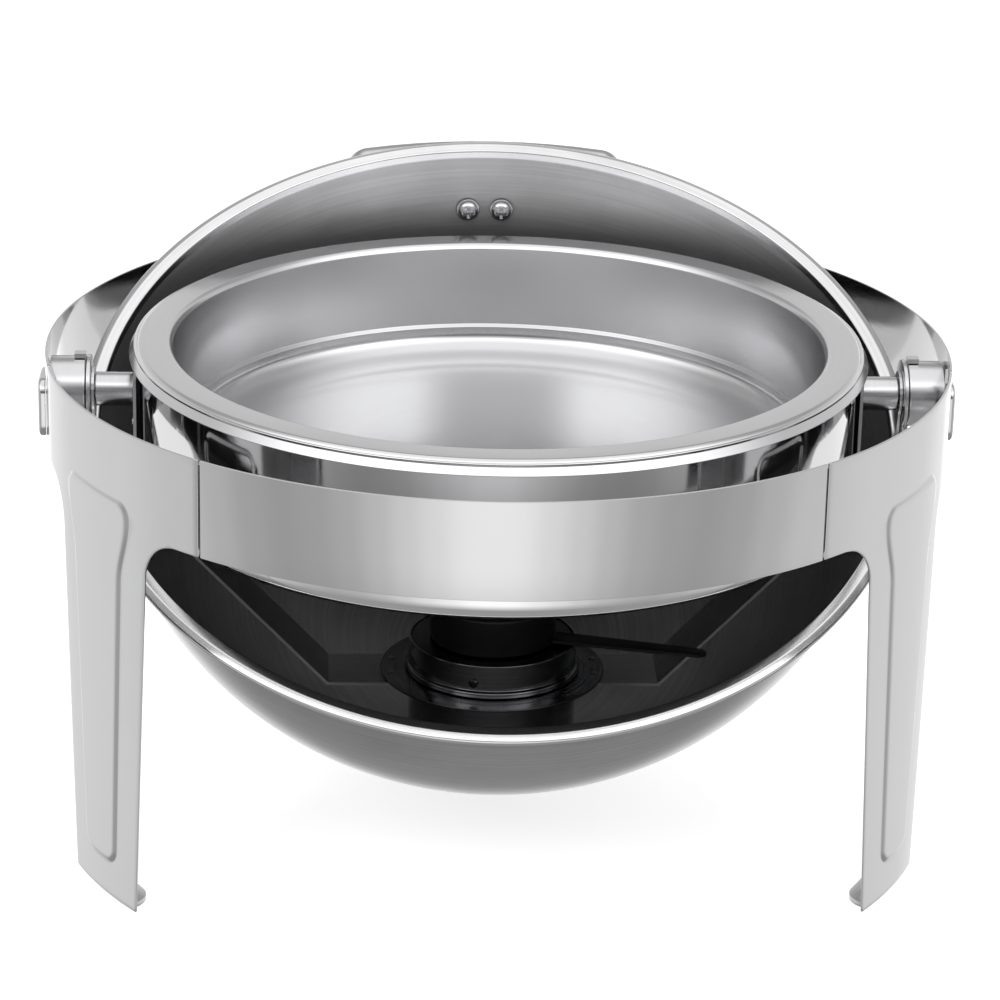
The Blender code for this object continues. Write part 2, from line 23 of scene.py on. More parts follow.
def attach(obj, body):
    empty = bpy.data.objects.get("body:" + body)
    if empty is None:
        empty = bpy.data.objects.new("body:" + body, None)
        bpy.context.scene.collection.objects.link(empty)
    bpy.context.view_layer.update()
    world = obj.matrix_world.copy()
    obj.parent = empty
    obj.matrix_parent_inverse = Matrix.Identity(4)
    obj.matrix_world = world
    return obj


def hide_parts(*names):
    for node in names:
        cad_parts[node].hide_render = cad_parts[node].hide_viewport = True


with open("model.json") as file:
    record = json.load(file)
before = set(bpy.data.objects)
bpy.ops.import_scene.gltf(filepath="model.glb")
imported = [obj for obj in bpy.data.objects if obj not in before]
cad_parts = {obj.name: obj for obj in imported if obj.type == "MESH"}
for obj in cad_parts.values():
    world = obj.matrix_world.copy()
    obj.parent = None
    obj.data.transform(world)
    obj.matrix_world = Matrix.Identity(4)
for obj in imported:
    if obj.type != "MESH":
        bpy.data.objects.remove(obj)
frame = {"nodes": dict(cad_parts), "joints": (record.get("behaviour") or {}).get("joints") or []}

LOG = logging.getLogger("chafer")
MM = 0.001
TAU = math.tau
Array = np.ndarray
Colour = tuple[float, float, float]
Turn = tuple[float, float, float]
Corner = tuple[float, float, float]

QUARTER = 0.5 * math.pi

ROLL = next(joint for joint in frame["joints"] if joint["name"] == "lid_roll")
PIVOT = Vector(ROLL["pos_m"])
AXIS_Z = PIVOT.z
LID_OPEN = math.radians(ROLL["range_deg"][1])
LEG_SPACING = math.radians(120.0)
# Edges over this angle stay crisp.
CRISP = math.radians(40.0)

# Soft marks and smears on every finish, in features per metre.
MARK_SCALE = 13.0
SMEAR_SCALE = 48.0

# A hollow sheet's lip and inner side against its outside. Tone 0 is the finish's own colour and tone 1 is
# half of it.
# The lip's negative tone lightens the rim's colour: a painted highlight.
LIP_HIGHLIGHT_TONE = -0.8
# The inner side's colour is lightened near the rim as painted light and darkened towards the crown as
# painted shade.
INNER_PAINTED_LIGHT_TONE = -0.25
CROWN_SHADE_TONE = 0.8
INNER_ROUGH = 0.25
CROWN_ROUGH = -0.12


# ---- shader expressions
class Signal:
    """A node's output socket that can be used in arithmetic, so shader maths reads as maths."""

    def __init__(self, shop: NodeShop, socket: bpy.types.NodeSocket) -> None:
        """Wrap one output socket of the shop's tree."""
        self.shop = shop
        self.socket = socket

    def maths(self, operation: str, *values: Signal | float) -> Signal:
        """Add a Math node for the given values."""
        return self.shop.add("ShaderNodeMath", {"operation": operation}, dict(enumerate(values)))

    @staticmethod
    def operator(operation: str, number_first: bool = False) -> Callable[[Signal, Signal | float], Signal]:
        """The method that stands for one arithmetic sign, with the other value after or before."""
        def method(self: Signal, other: Signal | float) -> Signal:
            """Add the Math node of this sign."""
            return self.maths(operation, *((other, self) if number_first else (self, other)))
        return method

    __add__ = operator("ADD")
    __radd__ = operator("ADD", True)
    __sub__ = operator("SUBTRACT")
    __rsub__ = operator("SUBTRACT", True)
    __mul__ = operator("MULTIPLY")
    __truediv__ = operator("DIVIDE")
    __pow__ = operator("POWER")

    def between(self, low: float, high: float) -> Signal:
        """Rise smoothly from 0 at low to 1 at high."""
        settings = {"interpolation_type": "SMOOTHSTEP"}
        sockets = {"Value": self, "From Min": low, "From Max": high}
        return self.shop.add("ShaderNodeMapRange", settings, sockets)

    def clamp(self) -> Signal:
        """The value kept between 0 and 1."""
        return self.shop.add("ShaderNodeClamp", {}, {"Value": self})


class NodeShop:
    """Adds nodes to one material's or world's tree."""

    def __init__(self, tree: bpy.types.NodeTree) -> None:
        """Start with an empty tree."""
        self.tree = tree
        tree.nodes.clear()

    def add(self, kind: str, settings: dict, sockets: dict, output: int | str = 0) -> Signal:
        """Add one node.

        Args:
            kind: the node's type name.
            settings: its own settings; "stops" holds a ramp's (place, grey) pairs.
            sockets: input name or index to a value or a Signal.
            output: the output socket that the returned Signal stands for.

        Returns:
            The chosen output as a Signal.
        """
        node = self.tree.nodes.new(kind)
        for name, value in settings.items():
            if name == "stops":
                self.set_stops(node.color_ramp, value)
            else:
                setattr(node, name, value)
        for name, value in sockets.items():
            if isinstance(value, Signal):
                self.tree.links.new(value.socket, node.inputs[name])
            else:
                node.inputs[name].default_value = value
        return Signal(self, node.outputs[output]) if node.outputs else Signal(self, node.inputs[0])

    @staticmethod
    def set_stops(ramp: bpy.types.ColorRamp, stops: Sequence[tuple[float, float]]) -> None:
        """Put the listed grey stops on a colour ramp, eased between them."""
        ramp.interpolation = "EASE"
        while len(ramp.elements) > 1:
            ramp.elements.remove(ramp.elements[-1])
        for index, (place, value) in enumerate(stops):
            element = ramp.elements[0] if index == 0 else ramp.elements.new(place)
            element.position = place
            element.color = (value, value, value, 1.0)

    def noise(self, vector: Signal, scale: float, detail: float, rough: float = 0.5) -> Signal:
        """Noise between 0 and 1 over a vector."""
        sockets = {"Vector": vector, "Scale": scale, "Detail": detail, "Roughness": rough}
        return self.add("ShaderNodeTexNoise", {}, sockets, "Fac")

    def placed(self, vector: Signal, move: Sequence[float] = (0, 0, 0), turn: Turn = (0, 0, 0),
               scale: Sequence[float] = (1, 1, 1)) -> Signal:
        """Scale, turn and then move a vector."""
        sockets = {"Vector": vector, "Location": move, "Rotation": turn, "Scale": scale}
        return self.add("ShaderNodeMapping", {"vector_type": "POINT"}, sockets)

    def parts(self, vector: Signal) -> tuple[Signal, Signal, Signal]:
        """The three numbers of a vector."""
        first = self.add("ShaderNodeSeparateXYZ", {}, {0: vector})
        sockets = first.socket.node.outputs
        return tuple(Signal(self, socket) for socket in sockets)

    def vector(self, x: Signal | float, y: Signal | float, z: Signal | float) -> Signal:
        """A vector from three numbers."""
        return self.add("ShaderNodeCombineXYZ", {}, {0: x, 1: y, 2: z})

    def blend(self, factor: Signal, low: Colour, high: Colour) -> Signal:
        """A colour between two colours."""
        sockets = {0: factor, 6: (*low, 1.0), 7: (*high, 1.0)}
        settings = {"data_type": "RGBA", "clamp_factor": False, "clamp_result": True}
        return self.add("ShaderNodeMix", settings, sockets, 2)


# ---- finishes
class Grain(Enum):
    """How the finishing lines of a sheet run."""

    PLAIN = "no lines"
    TURNED = "rings round the piece's own Z axis"
    ALONG_X = "straight lines along the piece's own X"


@dataclass(frozen=True)
class Finish:
    """One surface finish of the chafer.

    Attributes:
        name: what a metal worker would call it.
        colour: base colour where the surface is clean.
        metal: metallic value.
        rough: mean roughness.
        wander: how far soft marks move the roughness.
        grain: how the finishing lines run.
        depth: strength of the finishing lines' bump.
        pitch: finishing lines per metre, roughly.
        cloud: how much soft marks darken the colour.
        scuffs: how much hair scratches roughen the surface.
        lip: height up a dome's own Z axis below which its rim's colour is made lighter, a painted highlight.
        inner: distance from a dome's own centre within which the sheet is its inner side, which
            is rougher, with its colour lightened near the rim as painted light and darkened towards the
            crown as painted shade; 0 for a piece that is not a dome.
    """

    name: str
    colour: Colour
    metal: float = 1.0
    rough: float = 0.2
    wander: float = 0.03
    grain: Grain = Grain.PLAIN
    depth: float = 0.0
    pitch: float = 1100.0
    cloud: float = 0.08
    scuffs: float = 0.05
    lip: float = 0.0
    inner: float = 0.0

    def lines(self, shop: NodeShop, spot: Signal) -> Signal:
        """Finishing lines from 0 to 1: noise squeezed across the lines and stretched along them."""
        if self.grain is Grain.ALONG_X:
            return shop.noise(shop.placed(spot, scale=(8.0, self.pitch, self.pitch)), 1.0, 3.0, 0.6)
        x, y, z = shop.parts(spot)
        radius = (x * x + y * y) ** 0.5
        across = shop.vector(radius * self.pitch, z * self.pitch, x * 9.0 + y * 5.0)
        return shop.noise(across, 1.0, 3.0, 0.6)

    def scratches(self, shop: NodeShop, spot: Signal) -> Signal:
        """Sparse hair scratches in two directions, 1 on a scratch."""
        first = shop.noise(shop.placed(spot, turn=(0.5, 0.3, 0.9), scale=(25.0, 1300.0, 60.0)), 1.0, 1.0)
        second = shop.noise(shop.placed(spot, turn=(-0.4, 0.8, -0.5), scale=(1500.0, 30.0, 50.0)), 1.0, 1.0)
        return first.between(0.70, 0.78) + second.between(0.71, 0.79)

    def material(self, centre: Sequence[float] = (0, 0, 0), turn: Turn = (0, 0, 0)) -> bpy.types.Material:
        """Build the finish for one piece.

        Args:
            centre: a point on the piece's own axis.
            turn: the rotation that brings the piece into its own upright frame.

        Returns:
            The material.
        """
        made = bpy.data.materials.new(self.name)
        made.use_nodes = True
        shop = NodeShop(made.node_tree)
        world_spot = shop.add("ShaderNodeTexCoord", {}, {}, "Object")
        centred = shop.placed(world_spot, move=tuple(-value for value in centre))
        spot = shop.placed(centred, turn=turn)
        marks = shop.noise(spot, MARK_SCALE, 4.0, 0.55)
        smears = shop.noise(shop.placed(spot, turn=(0.3, 0.2, 0.5), scale=(1.0, 0.3, 1.0)), SMEAR_SCALE, 3.0)
        rough = self.rough + (marks - 0.5) * (2.0 * self.wander) + (smears - 0.5) * self.wander
        tone = marks.between(0.35, 0.75) * self.cloud + smears.between(0.4, 0.8) * (0.5 * self.cloud)
        sockets: dict = {"Metallic": self.metal}
        if self.grain is not Grain.PLAIN:
            lines = self.lines(shop, spot)
            rough = rough + (lines - 0.5) * (3.0 * self.wander)
            tone = tone + lines.between(0.36, 0.64) * self.cloud
            bump = {"Strength": self.depth, "Distance": 0.2 * MM, "Height": lines}
            sockets["Normal"] = shop.add("ShaderNodeBump", {}, bump)
        if self.scuffs > 0.0:
            rough = rough + self.scratches(shop, spot) * self.scuffs
        # The darker colour that tone moves towards: for marks and lines it is wear and grain, for a dome's
        # crown it is painted shade, and a negative tone on a dome's lip gives a painted highlight.
        wear_and_shade_colour = tuple(0.5 * channel for channel in self.colour)
        if self.inner > 0.0:
            x, y, z = shop.parts(spot)
            within = 1.0 - ((x * x + y * y + z * z) ** 0.5).between(self.inner, self.inner + 0.4 * MM)
            # The rim below the lip height is lightened as a painted highlight.
            lip_highlight = 1.0 - z.between(self.lip, self.lip + 1.5 * MM)
            dull_and_shaded = within * (1.0 - lip_highlight)
            crown = z.between(0.3 * self.inner, 0.75 * self.inner)
            # Inside the dome the colour is lightened near the rim as painted light and darkened towards the
            # crown as painted shade; only the roughness change is the inner side's own finish.
            tone = tone + dull_and_shaded * (crown * CROWN_SHADE_TONE + INNER_PAINTED_LIGHT_TONE) + lip_highlight * LIP_HIGHLIGHT_TONE
            rough = rough + dull_and_shaded * (crown * CROWN_ROUGH + INNER_ROUGH)
        sockets["Roughness"] = rough.clamp()
        sockets["Base Color"] = shop.blend(tone, self.colour, wear_and_shade_colour)
        shader = shop.add("ShaderNodeBsdfPrincipled", {}, sockets)
        shop.add("ShaderNodeOutputMaterial", {}, {"Surface": shader})
        return made


POLISHED = Finish("polished_sheet", (0.64, 0.64, 0.645), rough=0.06, wander=0.02, cloud=0.03)
MIRROR_PAN = Finish("drawn_pan_mirror", (0.82, 0.82, 0.825), rough=0.06, wander=0.02, cloud=0.06)
SATIN_PAN = Finish("drawn_pan_satin", (0.68, 0.68, 0.69), rough=0.19, wander=0.012,
                   grain=Grain.TURNED, depth=0.01, pitch=900.0, cloud=0.03)
# The dome's lip setting paints a highlight on its rim; its inner setting paints light near the rim inside
# and shade towards the crown.
DOME = Finish("spun_dome", (0.56, 0.56, 0.565), rough=0.20, wander=0.025, grain=Grain.TURNED,
              depth=0.14, pitch=900.0, cloud=0.20, lip=25.0 * MM, inner=213.2 * MM)
TURNED_STEEL = Finish("turned_steel", (0.66, 0.66, 0.67), rough=0.22, grain=Grain.TURNED, depth=0.15,
                      pitch=1600.0)
SATIN = Finish("satin_sheet", (0.64, 0.64, 0.65), rough=0.2, wander=0.03, grain=Grain.ALONG_X, depth=0.05)
STRAP = Finish("brushed_strap", (0.48, 0.48, 0.49), rough=0.3, wander=0.04, grain=Grain.ALONG_X,
               depth=0.15, cloud=0.12)
HEATED = Finish("heat_tinted_steel", (0.52, 0.52, 0.53), rough=0.10, wander=0.04, grain=Grain.TURNED,
                depth=0.05, cloud=0.3)
SMOKED = Finish("heat_darkened_steel", (0.10, 0.10, 0.11), rough=0.22, wander=0.05, grain=Grain.TURNED,
                depth=0.05, cloud=0.2)
BLACK = Finish("black_lacquer", (0.018, 0.018, 0.018), metal=0.0, rough=0.38, wander=0.06, cloud=0.2,
               scuffs=0.1)
RING_STEEL = Finish("sooty_ring", (0.24, 0.24, 0.25), rough=0.26, wander=0.04, grain=Grain.TURNED,
                    depth=0.1, cloud=0.2)
TIN = Finish("plain_tin", (0.62, 0.62, 0.64), rough=0.3, wander=0.05, grain=Grain.TURNED, depth=0.1)
FLOOR = Finish("pale_floor", (0.9, 0.9, 0.9), metal=0.0, rough=0.6, cloud=0.02, scuffs=0.0)


# ---- surfaces
@dataclass
class Shape:
    """Points and faces of a surface.

    Attributes:
        points: one row for each point.
        faces: lists of point numbers.
    """

    points: Array
    faces: list

    def placed(self, matrix: Matrix) -> Shape:
        """A copy of the shape moved by a matrix."""
        turn = np.array(matrix.to_3x3())
        return Shape(self.points @ turn.T + np.array(matrix.translation), self.faces)


def grid_faces(rows: int, columns: int, wrap: bool = False, close: bool = False) -> list:
    """Quads of a grid of points stored row by row.

    Args:
        rows: number of rows.
        columns: points in a row.
        wrap: join the last row to the first.
        close: join each row's last point to its first.

    Returns:
        Lists of four point numbers.
    """
    low = np.arange(rows if wrap else rows - 1)[:, None]
    left = np.arange(columns if close else columns - 1)[None, :]
    high, right = (low + 1) % rows, (left + 1) % columns
    quad = (low * columns + left, low * columns + right, high * columns + right, high * columns + left)
    return np.stack([np.broadcast_to(c, (low.size, left.size)) for c in quad], -1).reshape(-1, 4).tolist()


def arc(centre: tuple[float, float], radius: float, start: float, end: float, count: int) -> Array:
    """Points of a circle's arc: centre plus radius times (cos, sin), angles in degrees."""
    angles = np.radians(np.linspace(start, end, count + 1))
    return np.stack([centre[0] + radius * np.cos(angles), centre[1] + radius * np.sin(angles)], -1)


def fillet(outline: Sequence[Corner], closed: bool = False, count: int = 5) -> Array:
    """Round the corners of an outline.

    Each corner (x, y, radius) is replaced by the arc that touches both its edges, drawn as a
    smooth blend of the two touching points: (1-t)^2 a + 2t(1-t) corner + t^2 b.

    Args:
        outline: the corners with their radii.
        closed: join the last corner to the first.
        count: steps in each rounded corner.

    Returns:
        The outline's points.
    """
    spots = np.array([corner[:2] for corner in outline])
    out = []
    size = len(outline)
    for index, (x, y, radius) in enumerate(outline):
        here = np.array([x, y])
        if radius <= 0.0 or (not closed and index in (0, size - 1)):
            out.append(here)
            continue
        before, after = spots[index - 1] - here, spots[(index + 1) % size] - here
        to_before, to_after = before / np.linalg.norm(before), after / np.linalg.norm(after)
        half = 0.5 * math.acos(float(np.clip(to_before @ to_after, -1.0, 1.0)))
        reach = min(radius / math.tan(half), 0.49 * np.linalg.norm(before), 0.49 * np.linalg.norm(after))
        for t in np.linspace(0.0, 1.0, count + 1):
            out.append(here + (1 - t) ** 2 * reach * to_before + t ** 2 * reach * to_after)
    return np.array(out)


def lathe(profile: Array, steps: int, loop: bool = False) -> Shape:
    """Turn a profile round Z: each (r, z) becomes (r cos a, r sin a, z).

    Args:
        profile: rows of (r, z).
        steps: points round the axis.
        loop: join the profile's last point to its first, for a ring.

    Returns:
        The surface.
    """
    angles = np.arange(steps) * TAU / steps
    r, z = profile[:, 0], profile[:, 1]
    points = np.stack([np.outer(np.cos(angles), r), np.outer(np.sin(angles), r),
                       np.broadcast_to(z, (steps, len(z)))], -1)
    return Shape(points.reshape(-1, 3), grid_faces(steps, len(profile), True, loop))


def corners(x: float, y: float, *offsets: Corner) -> list[Corner]:
    """Outline corners (x, y, radius) from offsets in millimetres from one point."""
    return [(x + right * MM, y + up * MM, radius * MM) for right, up, radius in offsets]


def flat_ring(bore: float, radius: float, span: tuple[float, float], bore_edge: float, rim_edge: float,
              count: int = 5) -> Array:
    """Closed section of a flat ring between two heights, with rounded edges at its bore and rim."""
    low, high = span
    return fillet([(bore, low, bore_edge), (radius, low, rim_edge), (radius, high, rim_edge),
                   (bore, high, bore_edge)], closed=True, count=count)


def plug(radius: float, low: float, high: float, low_edge: float, high_edge: float) -> Array:
    """Section of a solid disc or post between two heights, with the radii of its two edges."""
    return fillet([(0.0, low, 0.0), (radius, low, low_edge), (radius, high, high_edge), (0.0, high, 0.0)])


def smooth(t: Array) -> Array:
    """Smooth step of a share from 0 to 1: t^2 (3 - 2t)."""
    return t ** 2 * (3.0 - 2.0 * t)


def on_ring(radius: Array, phi: Array, z: Array) -> Array:
    """Points on the frame's cylinder: (r sin phi, -r cos phi, z)."""
    return np.stack(np.broadcast_arrays(radius * np.sin(phi), -radius * np.cos(phi), z), -1)


def ring_strip(section: Array, start: float, end: float, steps: int) -> Shape:
    """Carry a closed (r, z) section round the frame from phi start to end and cap both ends."""
    phi = np.linspace(start, end, steps + 1)[:, None]
    points = on_ring(section[None, :, 0], phi, section[None, :, 1]).reshape(-1, 3)
    size = len(section)
    caps = [list(range(size)), list(range(steps * size, (steps + 1) * size))]
    return Shape(points, grid_faces(steps + 1, size, False, True) + caps)


def slab(outline: Array, low: float, high: float, edge: float) -> Shape:
    """Extrude a closed outline along Z with softened edges.

    The outline is drawn four times: pulled in by the edge radius at the bottom, full size just
    above it, full size just under the top, and pulled in again at the top. Pulling in moves a
    point along the mean of its two edges' inward normals.

    Args:
        outline: rows of (x, y), counter-clockwise.
        low: height of the bottom face.
        high: height of the top face.
        edge: radius of the softened edges.

    Returns:
        The surface.
    """
    ahead = np.roll(outline, -1, 0) - outline
    ahead /= np.linalg.norm(ahead, axis=1)[:, None]
    inward = np.stack([-ahead[:, 1], ahead[:, 0]], -1)
    mean = inward + np.roll(inward, 1, 0)
    mean /= np.maximum(np.linalg.norm(mean, axis=1)[:, None], 1e-9)
    steps = [(edge, low), (0.3 * edge, low + 0.3 * edge), (0.0, low + edge), (0.0, high - edge),
             (0.3 * edge, high - 0.3 * edge), (edge, high)]
    layers = [np.column_stack([outline + mean * pull, np.full(len(outline), z)]) for pull, z in steps]
    size = len(outline)
    caps = [list(range(size)), list(range(5 * size, 6 * size))]
    return Shape(np.concatenate(layers), grid_faces(6, size, False, True) + caps)


def rounded_rings(half_long: float, half_wide: float, corner: float, insets: Array) -> Array:
    """Nested rounded rectangles, each pulled in from the outline by its inset.

    A ring's corner is the outline's corner less the inset, and never under half of what is left
    of the width, so the last ring closes to a line.

    Args:
        half_long: half length.
        half_wide: half width.
        corner: corner radius of the outline.
        insets: how far each ring is pulled in.

    Returns:
        Points by ring, place on the ring, and (along, across).
    """
    inset = np.asarray(insets)[:, None]
    left = np.maximum(half_wide - inset, 0.0)
    radius = np.minimum(np.maximum(corner - inset, 0.5 * left), left)
    angle = np.linspace(0.0, QUARTER, 11)
    sides = 9
    rings = []
    for quarter in range(4):
        sign_long = 1.0 if quarter in (0, 3) else -1.0
        sign_wide = 1.0 if quarter in (0, 1) else -1.0
        turn = angle + QUARTER * quarter
        along = sign_long * (half_long - inset - radius) + radius * np.cos(turn)
        across = sign_wide * (left - radius) + radius * np.sin(turn)
        rings.append(np.stack([along, across], -1))
    joined = []
    for quarter in range(4):
        here, after = rings[quarter], rings[(quarter + 1) % 4][:, :1]
        share = (np.arange(1, sides) / sides)[None, :, None]
        joined += [here, here[:, -1:] + (after - here[:, -1:]) * share]
    return np.concatenate(joined, axis=1)


def pillow(rings: Array, radius: Array) -> Shape:
    """Bend nested rings onto a cylinder about Z: along becomes an angle, across becomes Z."""
    bend = radius.max()
    phi = rings[..., 0] / bend
    points = on_ring(radius[:, None], phi, rings[..., 1]).reshape(-1, 3)
    return Shape(points, grid_faces(rings.shape[0], rings.shape[1], False, True))


# ---- pieces
def linked(name: str, shape: Shape, material: bpy.types.Material) -> bpy.types.Object:
    """Put a surface in the scene as an object with one material."""
    mesh = bpy.data.meshes.new(name)
    mesh.from_pydata(shape.points, [], shape.faces)
    mesh.materials.append(material)
    thing = bpy.data.objects.new(name, mesh)
    bpy.context.scene.collection.objects.link(thing)
    return thing


def finished(name: str, shape: Shape, body: str, node: str,
             material: bpy.types.Material) -> bpy.types.Object:
    """Make a finished piece that rides on a body and stands for a CAD node.

    Args:
        name: the piece's name.
        shape: its surface.
        body: the body it moves with.
        node: the CAD node it stands for.
        material: its finish.

    Returns:
        The object.
    """
    thing = linked(name, shape, material)
    mesh = thing.data
    work = bmesh.new()
    work.from_mesh(mesh)
    bmesh.ops.remove_doubles(work, verts=work.verts, dist=0.002 * MM)
    bmesh.ops.dissolve_degenerate(work, edges=work.edges, dist=0.001 * MM)
    bmesh.ops.recalc_face_normals(work, faces=work.faces)
    work.to_mesh(mesh)
    work.free()
    mesh.shade_smooth()
    mesh.set_sharp_from_angle(angle=CRISP)
    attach(thing, body)
    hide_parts(node)
    LOG.info("%s: %d faces on %s", name, len(mesh.polygons), body)
    return thing


def dress_node(node: str, material: bpy.types.Material) -> None:
    """Give a kept CAD node its finish."""
    thing = frame["nodes"][node]
    thing.data.materials.clear()
    thing.data.materials.append(material)
    LOG.info("%s: kept, dressed as %s", node, material.name)


def lying_on_x(side: int) -> Matrix:
    """Matrix that lays a piece turned about Z along +X (side 1) or -X (side -1)."""
    return Matrix.Translation(PIVOT) @ Matrix.Rotation(side * QUARTER, 4, "Y")


# ---- frame
@dataclass(frozen=True)
class RingFrame:
    """Three bands and three leg panels that make the round stand, with feet and side covers."""

    radius: float = 238.5 * MM
    sheet: float = 1.2 * MM
    top: float = AXIS_Z + 26.3 * MM
    bottom: float = AXIS_Z - 23.9 * MM
    seam_phi: float = math.radians(39.7)
    seam_gap: float = 1.5 * MM
    edge: float = 0.2 * MM
    arch: float = 24.0 * MM
    leg_bottom: float = 0.4 * MM
    half_top: float = 44.9 * MM
    half_bottom: float = 33.3 * MM
    relief: float = 1.5 * MM
    relief_top: float = AXIS_Z - 10.5 * MM
    relief_bottom: float = 19.5 * MM
    relief_soft: float = 3.4 * MM
    relief_corner: float = 9.0 * MM
    waist_z: float = AXIS_Z - 55.0 * MM
    waist: float = 25.0 * MM
    shoulder: float = 8.0 * MM
    shoulder_height: float = 35.0 * MM
    taper_height: float = 150.0 * MM
    foot_depth: float = 15.0 * MM
    foot_half: float = 28.0 * MM
    foot_corner: float = 13.0 * MM
    foot_thick: float = 3.0 * MM
    cover_half: float = 17.0 * MM
    cover_top: float = AXIS_Z + 8.8 * MM
    cover_thick: float = 3.8 * MM
    cover_edge: float = 2.0 * MM
    cover_corner: float = 3.5 * MM
    gap: float = 0.3 * MM

    def band(self, name: str, middle: float) -> None:
        """One strip of the ring between two seams: a thin sheet section carried round the ring."""
        section = flat_ring(self.radius - self.sheet, self.radius, (self.bottom, self.top), self.edge,
                            self.edge, count=4)
        half = self.seam_phi - 0.5 * self.seam_gap / self.radius
        finished(name + "_skin", ring_strip(section, middle - half, middle + half, 120), "frame", name,
                 POLISHED.material())

    def leg_half(self, z: Array) -> Array:
        """Half width of a leg: a straight taper, then the arch's quarter circle out to the band."""
        arch_low = self.bottom - self.arch
        drop = np.clip(z - arch_low, 0.0, self.arch)
        share = np.clip((arch_low - z) / (arch_low - self.leg_bottom), 0.0, 1.0)
        straight = self.half_top + share * (self.half_bottom - self.half_top)
        return straight + self.arch - np.sqrt(np.maximum(self.arch ** 2 - drop ** 2, 0.0))

    def relief_half(self, z: Array) -> Array:
        """Half width of the pressed panel: smooth shoulders over a waist, then a slow taper."""
        rise = np.clip((z - self.waist_z) / self.shoulder_height, 0.0, 1.0)
        taper = np.minimum((z - self.waist_z) * self.shoulder / self.taper_height, 0.0)
        return self.waist + taper + self.shoulder * smooth(rise)

    def relief_lift(self, s: Array, z: Array) -> Array:
        """Lift of the pressed panel: a smooth step over its distance to the panel's rounded outline.

        In a corner, the distance is the corner radius less the distance to the corner's centre.
        """
        side = self.relief_half(z) - np.abs(s)
        end = np.minimum(self.relief_top - z, z - self.relief_bottom)
        corner = self.relief_corner
        to_centre = np.hypot(np.maximum(corner - side, 0.0), np.maximum(corner - end, 0.0))
        inside = np.minimum(np.minimum(side, end), corner)
        distance = np.where((side < corner) & (end < corner), corner - to_centre, inside)
        return self.relief * smooth(np.clip(distance / self.relief_soft, 0.0, 1.0))

    def leg_heights(self) -> Array:
        """Heights of the leg's rows, closest where the pressed panel ends and along the arch."""
        arch_turn = np.radians(np.linspace(0.0, 90.0, 15))
        arch = self.bottom - self.arch + self.arch * np.cos(arch_turn)
        close = self.relief_corner + 3.0 * MM
        upper = np.concatenate([np.linspace(self.top, self.relief_top + MM, 9),
                                np.linspace(self.relief_top, self.relief_top - close, 17), arch])
        lower = np.linspace(arch[-1], self.relief_bottom + close, 50)[1:]
        foot = np.concatenate([np.linspace(self.relief_bottom + close, self.relief_bottom, 16)[1:],
                               np.linspace(self.relief_bottom, self.leg_bottom, 9)[1:]])
        return np.concatenate([upper, lower, foot])

    def leg(self, name: str, middle: float) -> None:
        """A leg panel: rows whose width follows the leg, its wings under the ring and a raised panel.

        A row's inner points sit at share times the panel's half width, or between that and the
        leg's edge; the rows beside the ring have further points out to the seams.
        """
        z = self.leg_heights()[:, None]
        on_band = z >= self.bottom - 1e-9
        edge = self.relief_half(z)
        limit = self.leg_half(np.minimum(z, self.bottom))
        inside = np.concatenate([np.linspace(0.0, 0.55, 5), np.linspace(0.62, 1.0, 14)])[None, :]
        outside = np.linspace(0.0, 1.0, 9)[None, 1:]
        half = np.concatenate([inside * edge, edge + outside * (limit - edge)], axis=1)
        s = np.concatenate([-half[:, :0:-1], half], axis=1)
        seam = (math.pi / 3 - self.seam_phi) * self.radius - 0.5 * self.seam_gap
        wing = limit + np.linspace(0.0, 1.0, 5)[None, 1:] * (seam - limit)
        s = np.concatenate([-wing[:, ::-1], s, wing], axis=1)
        radius = self.radius - self.sheet + self.relief_lift(s, z)
        points = on_ring(radius, middle + s / self.radius, np.broadcast_to(z, s.shape)).reshape(-1, 3)
        faces = np.array(grid_faces(*s.shape)).reshape(s.shape[0] - 1, s.shape[1] - 1, 4)
        keep = np.broadcast_to(on_band[1:], faces.shape[:2]).copy()
        keep[:, 4:-4] = True
        shape = Shape(points, faces[keep].tolist())
        thing = finished(name + "_panel", shape, "frame", name, POLISHED.material())
        mesh = thing.data
        loose = bmesh.new()
        loose.from_mesh(mesh)
        bmesh.ops.delete(loose, geom=[v for v in loose.verts if not v.link_faces], context="VERTS")
        outward = on_ring(np.array(1.0), np.array(middle), np.array(0.0))
        if sum(face.normal.dot(Vector(outward)) * face.calc_area() for face in loose.faces) < 0.0:
            bmesh.ops.reverse_faces(loose, faces=loose.faces)
        loose.to_mesh(mesh)
        loose.free()
        wall = thing.modifiers.new("sheet", "SOLIDIFY")
        wall.thickness, wall.offset = self.sheet, 1.0
        wall.use_even_offset = True
        soft = thing.modifiers.new("edges", "BEVEL")
        soft.width, soft.segments = 0.35 * MM, 2
        soft.limit_method, soft.angle_limit = "ANGLE", math.radians(60.0)

    def foot(self, name: str, middle: float) -> None:
        """Tab turned inwards under a leg: an arc along the leg and two round inner corners."""
        outer = self.radius - self.sheet - self.gap
        front = -outer + self.foot_depth
        side, centre = self.foot_half - self.foot_corner, front - self.foot_corner
        rim = np.linspace(-1.0, 1.0, 25) * self.foot_half / outer
        outline = np.concatenate([arc((side, centre), self.foot_corner, 0, 90, 14),
                                  arc((-side, centre), self.foot_corner, 90, 180, 14),
                                  np.stack([outer * np.sin(rim), -outer * np.cos(rim)], -1)])
        shape = slab(outline, 0.0, self.foot_thick, 0.5 * MM).placed(Matrix.Rotation(middle, 4, "Z"))
        finish = SATIN.material(turn=(0, 0, -middle))
        finished(name + "_tab", shape, "frame", name, finish)

